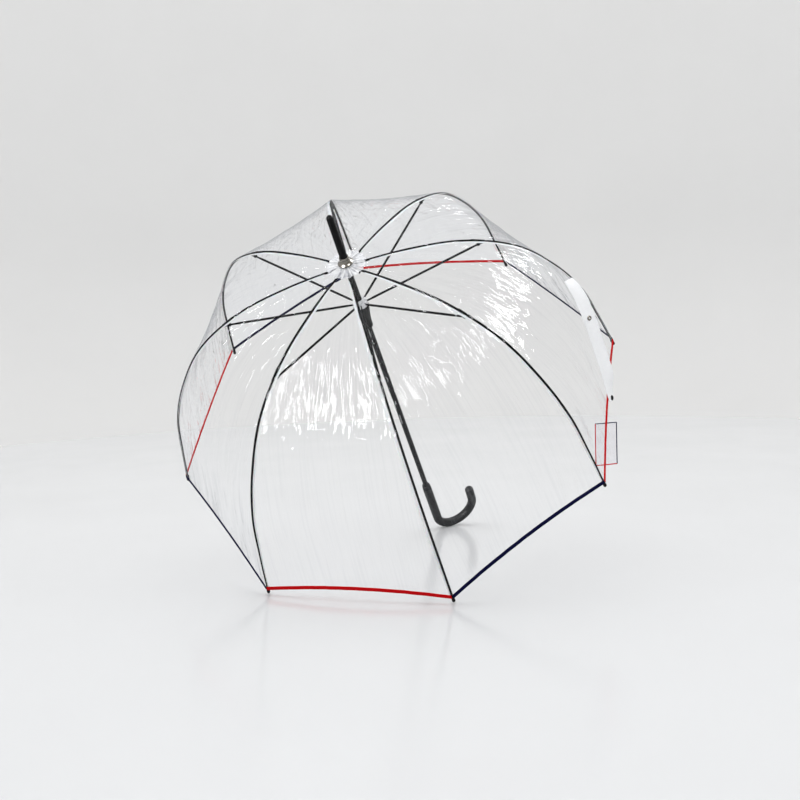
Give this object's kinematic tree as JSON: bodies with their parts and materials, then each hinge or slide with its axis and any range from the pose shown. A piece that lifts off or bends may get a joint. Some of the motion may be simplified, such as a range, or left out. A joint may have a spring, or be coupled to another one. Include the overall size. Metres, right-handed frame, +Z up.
{
  "type": "stick umbrella",
  "caption": "Open clear dome stick umbrella with a crook handle, folding ribs and stretchers, a sliding runner, coloured hem binding and a tie strap.",
  "frame": {"origin": "centre of the part's box on the floor it stands on, with two rib tips and the crook touching z = 0", "axes": "+Z up; the umbrella is open and leans over, its shaft runs from the crown, which is high at -Y, down to the crook, which is low at +Y; +X runs along the hem between the two rib tips that touch the floor"},
  "size_m": [0.7822, 0.7104, 0.6688],
  "materials": {
    "frame_metal": "black lacquered steel, semi-gloss",
    "shaft_metal": "black coated tube, semi-gloss",
    "black_plastic": "moulded black plastic",
    "handle_plastic": "smooth black plastic",
    "nickel": "polished nickel plate",
    "spring_steel": "spring steel",
    "white_plastic": "milky white plastic",
    "clear_film": "clear soft plastic film, lightly creased",
    "milky_film": "milky plastic film patch",
    "strap_white": "smooth white tape",
    "label_film": "clear printed tag with a thin border",
    "binding_navy": "woven navy tape",
    "binding_red": "woven red tape"
  },
  "bodies": {
    "shaft": {"shaft_tube": "shaft_metal", "crook_handle": "handle_plastic", "ferrule_spike": "black_plastic", "ferrule_cap": "nickel", "rosette": "milky_film", "top_notch": "white_plastic"},
    "rib_upper_1": {"rib_upper_1": "frame_metal"},
    "rib_lower_1": {"rib_lower_1": "frame_metal", "rib_tip_1": "black_plastic"},
    "stretcher_1": {"stretcher_1": "frame_metal"},
    "canopy_upper_1": {"gore_1": "clear_film"},
    "canopy_lower_1": {"hem_1": "binding_navy"},
    "rib_upper_2": {"rib_upper_2": "frame_metal"},
    "rib_lower_2": {"rib_lower_2": "frame_metal", "rib_tip_2": "black_plastic"},
    "stretcher_2": {"stretcher_2": "frame_metal"},
    "canopy_upper_2": {"gore_2": "clear_film"},
    "canopy_lower_2": {"hem_2": "binding_red", "tie_strap": "strap_white", "label_tag": "label_film"},
    "rib_upper_3": {"rib_upper_3": "frame_metal"},
    "rib_lower_3": {"rib_lower_3": "frame_metal", "rib_tip_3": "black_plastic"},
    "stretcher_3": {"stretcher_3": "frame_metal"},
    "canopy_upper_3": {"gore_3": "clear_film"},
    "canopy_lower_3": {"hem_3": "binding_navy"},
    "rib_upper_4": {"rib_upper_4": "frame_metal"},
    "rib_lower_4": {"rib_lower_4": "frame_metal", "rib_tip_4": "black_plastic"},
    "stretcher_4": {"stretcher_4": "frame_metal"},
    "canopy_upper_4": {"gore_4": "clear_film"},
    "canopy_lower_4": {"hem_4": "binding_red"},
    "rib_upper_5": {"rib_upper_5": "frame_metal"},
    "rib_lower_5": {"rib_lower_5": "frame_metal", "rib_tip_5": "black_plastic"},
    "stretcher_5": {"stretcher_5": "frame_metal"},
    "canopy_upper_5": {"gore_5": "clear_film"},
    "canopy_lower_5": {"hem_5": "binding_navy"},
    "rib_upper_6": {"rib_upper_6": "frame_metal"},
    "rib_lower_6": {"rib_lower_6": "frame_metal", "rib_tip_6": "black_plastic"},
    "stretcher_6": {"stretcher_6": "frame_metal"},
    "canopy_upper_6": {"gore_6": "clear_film"},
    "canopy_lower_6": {"hem_6": "binding_red"},
    "rib_upper_7": {"rib_upper_7": "frame_metal"},
    "rib_lower_7": {"rib_lower_7": "frame_metal", "rib_tip_7": "black_plastic"},
    "stretcher_7": {"stretcher_7": "frame_metal"},
    "canopy_upper_7": {"gore_7": "clear_film"},
    "canopy_lower_7": {"hem_7": "binding_navy"},
    "rib_upper_8": {"rib_upper_8": "frame_metal"},
    "rib_lower_8": {"rib_lower_8": "frame_metal", "rib_tip_8": "black_plastic"},
    "stretcher_8": {"stretcher_8": "frame_metal"},
    "canopy_upper_8": {"gore_8": "clear_film"},
    "canopy_lower_8": {"hem_8": "binding_red"},
    "runner": {"runner_notch": "white_plastic", "runner_body": "black_plastic"},
    "top_catch": {"top_catch": "spring_steel"},
    "bottom_catch": {"bottom_catch": "spring_steel"}
  },
  "joints": [
    {"name": "open_close", "type": "hinge", "parent": "shaft", "child": "rib_upper_1", "pos_m": [-0.00151, -0.234, 0.52943], "axis": [0.9239, 0.2683, 0.2729], "range_deg": [0, 72.17]},
    {"name": "stretcher_pivot_1", "type": "hinge", "parent": "rib_upper_1", "child": "stretcher_1", "pos_m": [0.07522, -0.33389, 0.36788], "axis": [0.9239, 0.2683, 0.2729], "range_deg": [-144.35, 0]},
    {"name": "rib_bend_1", "type": "hinge", "parent": "rib_upper_1", "child": "rib_lower_1", "pos_m": [0.07803, -0.34154, 0.36588], "axis": [0.9239, 0.2683, 0.2729], "range_deg": [-45.01, 0]},
    {"name": "rib_fold_2", "type": "hinge", "parent": "shaft", "child": "rib_upper_2", "pos_m": [0.00417, -0.23002, 0.53349], "axis": [0.3827, 0.6476, 0.6589], "range_deg": [0, 72.18]},
    {"name": "stretcher_pivot_2", "type": "hinge", "parent": "rib_upper_2", "child": "stretcher_2", "pos_m": [0.18941, -0.25385, 0.44932], "axis": [0.3827, 0.6476, 0.6589], "range_deg": [-144.35, 0]},
    {"name": "rib_bend_2", "type": "hinge", "parent": "rib_upper_2", "child": "rib_lower_2", "pos_m": [0.19621, -0.25871, 0.45016], "axis": [0.3827, 0.6476, 0.6589], "range_deg": [-45.01, 0]},
    {"name": "rib_fold_3", "type": "hinge", "parent": "shaft", "child": "rib_upper_3", "pos_m": [0.00417, -0.22438, 0.53922], "axis": [-0.3827, 0.6476, 0.6589], "range_deg": [0, 72.18]},
    {"name": "stretcher_pivot_3", "type": "hinge", "parent": "rib_upper_3", "child": "stretcher_3", "pos_m": [0.18941, -0.14065, 0.5645], "axis": [-0.3827, 0.6476, 0.6589], "range_deg": [-144.35, 0]},
    {"name": "rib_bend_3", "type": "hinge", "parent": "rib_upper_3", "child": "rib_lower_3", "pos_m": [0.19621, -0.14156, 0.56934], "axis": [-0.3827, 0.6476, 0.6589], "range_deg": [-45.01, 0]},
    {"name": "rib_fold_4", "type": "hinge", "parent": "shaft", "child": "rib_upper_4", "pos_m": [-0.00151, -0.2204, 0.54327], "axis": [-0.9239, 0.2683, 0.2729], "range_deg": [0, 72.18]},
    {"name": "stretcher_pivot_4", "type": "hinge", "parent": "rib_upper_4", "child": "stretcher_4", "pos_m": [0.07522, -0.0606, 0.64594], "axis": [-0.9239, 0.2683, 0.2729], "range_deg": [-144.35, 0]},
    {"name": "rib_bend_4", "type": "hinge", "parent": "rib_upper_4", "child": "rib_lower_4", "pos_m": [0.07803, -0.05872, 0.65362], "axis": [-0.9239, 0.2683, 0.2729], "range_deg": [-45.01, 0]},
    {"name": "rib_fold_5", "type": "hinge", "parent": "shaft", "child": "rib_upper_5", "pos_m": [-0.00954, -0.2204, 0.54327], "axis": [-0.9239, -0.2683, -0.2729], "range_deg": [0, 72.18]},
    {"name": "stretcher_pivot_5", "type": "hinge", "parent": "rib_upper_5", "child": "stretcher_5", "pos_m": [-0.08627, -0.0606, 0.64594], "axis": [-0.9239, -0.2683, -0.2729], "range_deg": [-144.35, 0]},
    {"name": "rib_bend_5", "type": "hinge", "parent": "rib_upper_5", "child": "rib_lower_5", "pos_m": [-0.08909, -0.05872, 0.65362], "axis": [-0.9239, -0.2683, -0.2729], "range_deg": [-45.01, 0]},
    {"name": "rib_fold_6", "type": "hinge", "parent": "shaft", "child": "rib_upper_6", "pos_m": [-0.01523, -0.22438, 0.53922], "axis": [-0.3827, -0.6476, -0.6589], "range_deg": [0, 72.18]},
    {"name": "stretcher_pivot_6", "type": "hinge", "parent": "rib_upper_6", "child": "stretcher_6", "pos_m": [-0.20046, -0.14065, 0.5645], "axis": [-0.3827, -0.6476, -0.6589], "range_deg": [-144.35, 0]},
    {"name": "rib_bend_6", "type": "hinge", "parent": "rib_upper_6", "child": "rib_lower_6", "pos_m": [-0.20726, -0.14156, 0.56934], "axis": [-0.3827, -0.6476, -0.6589], "range_deg": [-45.01, 0]},
    {"name": "rib_fold_7", "type": "hinge", "parent": "shaft", "child": "rib_upper_7", "pos_m": [-0.01523, -0.23002, 0.53349], "axis": [0.3827, -0.6476, -0.6589], "range_deg": [0, 72.18]},
    {"name": "stretcher_pivot_7", "type": "hinge", "parent": "rib_upper_7", "child": "stretcher_7", "pos_m": [-0.20046, -0.25385, 0.44932], "axis": [0.3827, -0.6476, -0.6589], "range_deg": [-144.35, 0]},
    {"name": "rib_bend_7", "type": "hinge", "parent": "rib_upper_7", "child": "rib_lower_7", "pos_m": [-0.20726, -0.25871, 0.45016], "axis": [0.3827, -0.6476, -0.6589], "range_deg": [-45.01, 0]},
    {"name": "rib_fold_8", "type": "hinge", "parent": "shaft", "child": "rib_upper_8", "pos_m": [-0.00954, -0.234, 0.52943], "axis": [0.9239, -0.2683, -0.2729], "range_deg": [0, 72.18]},
    {"name": "stretcher_pivot_8", "type": "hinge", "parent": "rib_upper_8", "child": "stretcher_8", "pos_m": [-0.08627, -0.33389, 0.36788], "axis": [0.9239, -0.2683, -0.2729], "range_deg": [-144.35, 0]},
    {"name": "rib_bend_8", "type": "hinge", "parent": "rib_upper_8", "child": "rib_lower_8", "pos_m": [-0.08909, -0.34154, 0.36588], "axis": [0.9239, -0.2683, -0.2729], "range_deg": [-45.01, 0]},
    {"name": "runner_pivot", "type": "hinge", "parent": "stretcher_1", "child": "runner", "pos_m": [-0.00151, -0.17409, 0.47055], "axis": [0.9239, 0.2683, 0.2729], "range_deg": [0, 72.18]},
    {"name": "canopy_fold_1", "type": "hinge", "parent": "shaft", "child": "canopy_upper_1", "pos_m": [-0.00491, -0.22083, 0.52923], "axis": [0.7071, 0.4957, 0.5043], "range_deg": [0, 72.24], "deforming": ["gore_1"]},
    {"name": "canopy_bend_1", "type": "hinge", "parent": "canopy_upper_1", "child": "canopy_lower_1", "pos_m": [0.13712, -0.30013, 0.40802], "axis": [0.7071, 0.4957, 0.5043], "range_deg": [-46.76, 0], "deforming": ["hem_1"]},
    {"name": "canopy_fold_2", "type": "hinge", "parent": "shaft", "child": "canopy_upper_2", "pos_m": [-0.00466, -0.2204, 0.52967], "axis": [0, 0.701, 0.7132], "range_deg": [0, 72.24], "deforming": ["gore_2"]},
    {"name": "canopy_bend_2", "type": "hinge", "parent": "canopy_upper_2", "child": "canopy_lower_2", "pos_m": [0.19621, -0.20014, 0.50975], "axis": [0, 0.701, 0.7132], "range_deg": [-46.76, 0], "deforming": ["hem_2", "tie_strap", "label_tag"]},
    {"name": "canopy_fold_3", "type": "hinge", "parent": "shaft", "child": "canopy_upper_3", "pos_m": [-0.00491, -0.21997, 0.5301], "axis": [-0.7071, 0.4957, 0.5043], "range_deg": [0, 72.24], "deforming": ["gore_3"]},
    {"name": "canopy_bend_3", "type": "hinge", "parent": "canopy_upper_3", "child": "canopy_lower_3", "pos_m": [0.13712, -0.10014, 0.61148], "axis": [-0.7071, 0.4957, 0.5043], "range_deg": [-46.76, 0], "deforming": ["hem_3"]},
    {"name": "canopy_fold_4", "type": "hinge", "parent": "shaft", "child": "canopy_upper_4", "pos_m": [-0.00553, -0.21979, 0.53028], "axis": [-1, 0, 0], "range_deg": [0, 72.24], "deforming": ["gore_4"]},
    {"name": "canopy_bend_4", "type": "hinge", "parent": "canopy_upper_4", "child": "canopy_lower_4", "pos_m": [-0.00553, -0.05872, 0.65362], "axis": [-1, 0, 0], "range_deg": [-46.76, 0], "deforming": ["hem_4"]},
    {"name": "canopy_fold_5", "type": "hinge", "parent": "shaft", "child": "canopy_upper_5", "pos_m": [-0.00614, -0.21997, 0.5301], "axis": [-0.7071, -0.4957, -0.5043], "range_deg": [0, 72.24], "deforming": ["gore_5"]},
    {"name": "canopy_bend_5", "type": "hinge", "parent": "canopy_upper_5", "child": "canopy_lower_5", "pos_m": [-0.14817, -0.10014, 0.61148], "axis": [-0.7071, -0.4957, -0.5043], "range_deg": [-46.76, 0], "deforming": ["hem_5"]},
    {"name": "canopy_fold_6", "type": "hinge", "parent": "shaft", "child": "canopy_upper_6", "pos_m": [-0.00639, -0.2204, 0.52967], "axis": [0, -0.701, -0.7132], "range_deg": [0, 72.24], "deforming": ["gore_6"]},
    {"name": "canopy_bend_6", "type": "hinge", "parent": "canopy_upper_6", "child": "canopy_lower_6", "pos_m": [-0.20726, -0.20014, 0.50975], "axis": [0, -0.701, -0.7132], "range_deg": [-46.76, 0], "deforming": ["hem_6"]},
    {"name": "canopy_fold_7", "type": "hinge", "parent": "shaft", "child": "canopy_upper_7", "pos_m": [-0.00614, -0.22083, 0.52923], "axis": [0.7071, -0.4957, -0.5043], "range_deg": [0, 72.24], "deforming": ["gore_7"]},
    {"name": "canopy_bend_7", "type": "hinge", "parent": "canopy_upper_7", "child": "canopy_lower_7", "pos_m": [-0.14817, -0.30013, 0.40802], "axis": [0.7071, -0.4957, -0.5043], "range_deg": [-46.76, 0], "deforming": ["hem_7"]},
    {"name": "canopy_fold_8", "type": "hinge", "parent": "shaft", "child": "canopy_upper_8", "pos_m": [-0.00553, -0.22101, 0.52905], "axis": [1, 0, 0], "range_deg": [0, 72.24], "deforming": ["gore_8"]},
    {"name": "canopy_bend_8", "type": "hinge", "parent": "canopy_upper_8", "child": "canopy_lower_8", "pos_m": [-0.00553, -0.34154, 0.36588], "axis": [1, 0, 0], "range_deg": [-46.76, 0], "deforming": ["hem_8"]},
    {"name": "top_catch_press", "type": "slide", "parent": "shaft", "child": "top_catch", "axis": [0, 0.701, 0.7132], "range_m": [0, 0.002], "stiffness_N_per_m": 300},
    {"name": "bottom_catch_press", "type": "slide", "parent": "shaft", "child": "bottom_catch", "axis": [0, 0.701, 0.7132], "range_m": [0, 0.002], "stiffness_N_per_m": 300}
  ],
  "couplings": [
    {"joint": "stretcher_pivot_1", "follows": "open_close", "ratio": -2},
    {"joint": "rib_bend_1", "follows": "open_close", "ratio": -0.62354},
    {"joint": "rib_fold_2", "follows": "open_close", "ratio": 1},
    {"joint": "stretcher_pivot_2", "follows": "open_close", "ratio": -2},
    {"joint": "rib_bend_2", "follows": "open_close", "ratio": -0.62354},
    {"joint": "rib_fold_3", "follows": "open_close", "ratio": 1},
    {"joint": "stretcher_pivot_3", "follows": "open_close", "ratio": -2},
    {"joint": "rib_bend_3", "follows": "open_close", "ratio": -0.62354},
    {"joint": "rib_fold_4", "follows": "open_close", "ratio": 1},
    {"joint": "stretcher_pivot_4", "follows": "open_close", "ratio": -2},
    {"joint": "rib_bend_4", "follows": "open_close", "ratio": -0.62354},
    {"joint": "rib_fold_5", "follows": "open_close", "ratio": 1},
    {"joint": "stretcher_pivot_5", "follows": "open_close", "ratio": -2},
    {"joint": "rib_bend_5", "follows": "open_close", "ratio": -0.62354},
    {"joint": "rib_fold_6", "follows": "open_close", "ratio": 1},
    {"joint": "stretcher_pivot_6", "follows": "open_close", "ratio": -2},
    {"joint": "rib_bend_6", "follows": "open_close", "ratio": -0.62354},
    {"joint": "rib_fold_7", "follows": "open_close", "ratio": 1},
    {"joint": "stretcher_pivot_7", "follows": "open_close", "ratio": -2},
    {"joint": "rib_bend_7", "follows": "open_close", "ratio": -0.62354},
    {"joint": "rib_fold_8", "follows": "open_close", "ratio": 1},
    {"joint": "stretcher_pivot_8", "follows": "open_close", "ratio": -2},
    {"joint": "rib_bend_8", "follows": "open_close", "ratio": -0.62354},
    {"joint": "runner_pivot", "follows": "open_close", "ratio": 1},
    {"joint": "canopy_fold_1", "follows": "open_close", "ratio": 1.0008},
    {"joint": "canopy_bend_1", "follows": "open_close", "ratio": -0.64782},
    {"joint": "canopy_fold_2", "follows": "open_close", "ratio": 1.0008},
    {"joint": "canopy_bend_2", "follows": "open_close", "ratio": -0.64782},
    {"joint": "canopy_fold_3", "follows": "open_close", "ratio": 1.0008},
    {"joint": "canopy_bend_3", "follows": "open_close", "ratio": -0.64782},
    {"joint": "canopy_fold_4", "follows": "open_close", "ratio": 1.0008},
    {"joint": "canopy_bend_4", "follows": "open_close", "ratio": -0.64782},
    {"joint": "canopy_fold_5", "follows": "open_close", "ratio": 1.0008},
    {"joint": "canopy_bend_5", "follows": "open_close", "ratio": -0.64782},
    {"joint": "canopy_fold_6", "follows": "open_close", "ratio": 1.0008},
    {"joint": "canopy_bend_6", "follows": "open_close", "ratio": -0.64782},
    {"joint": "canopy_fold_7", "follows": "open_close", "ratio": 1.0008},
    {"joint": "canopy_bend_7", "follows": "open_close", "ratio": -0.64782},
    {"joint": "canopy_fold_8", "follows": "open_close", "ratio": 1.0008},
    {"joint": "canopy_bend_8", "follows": "open_close", "ratio": -0.64782}
  ]
}
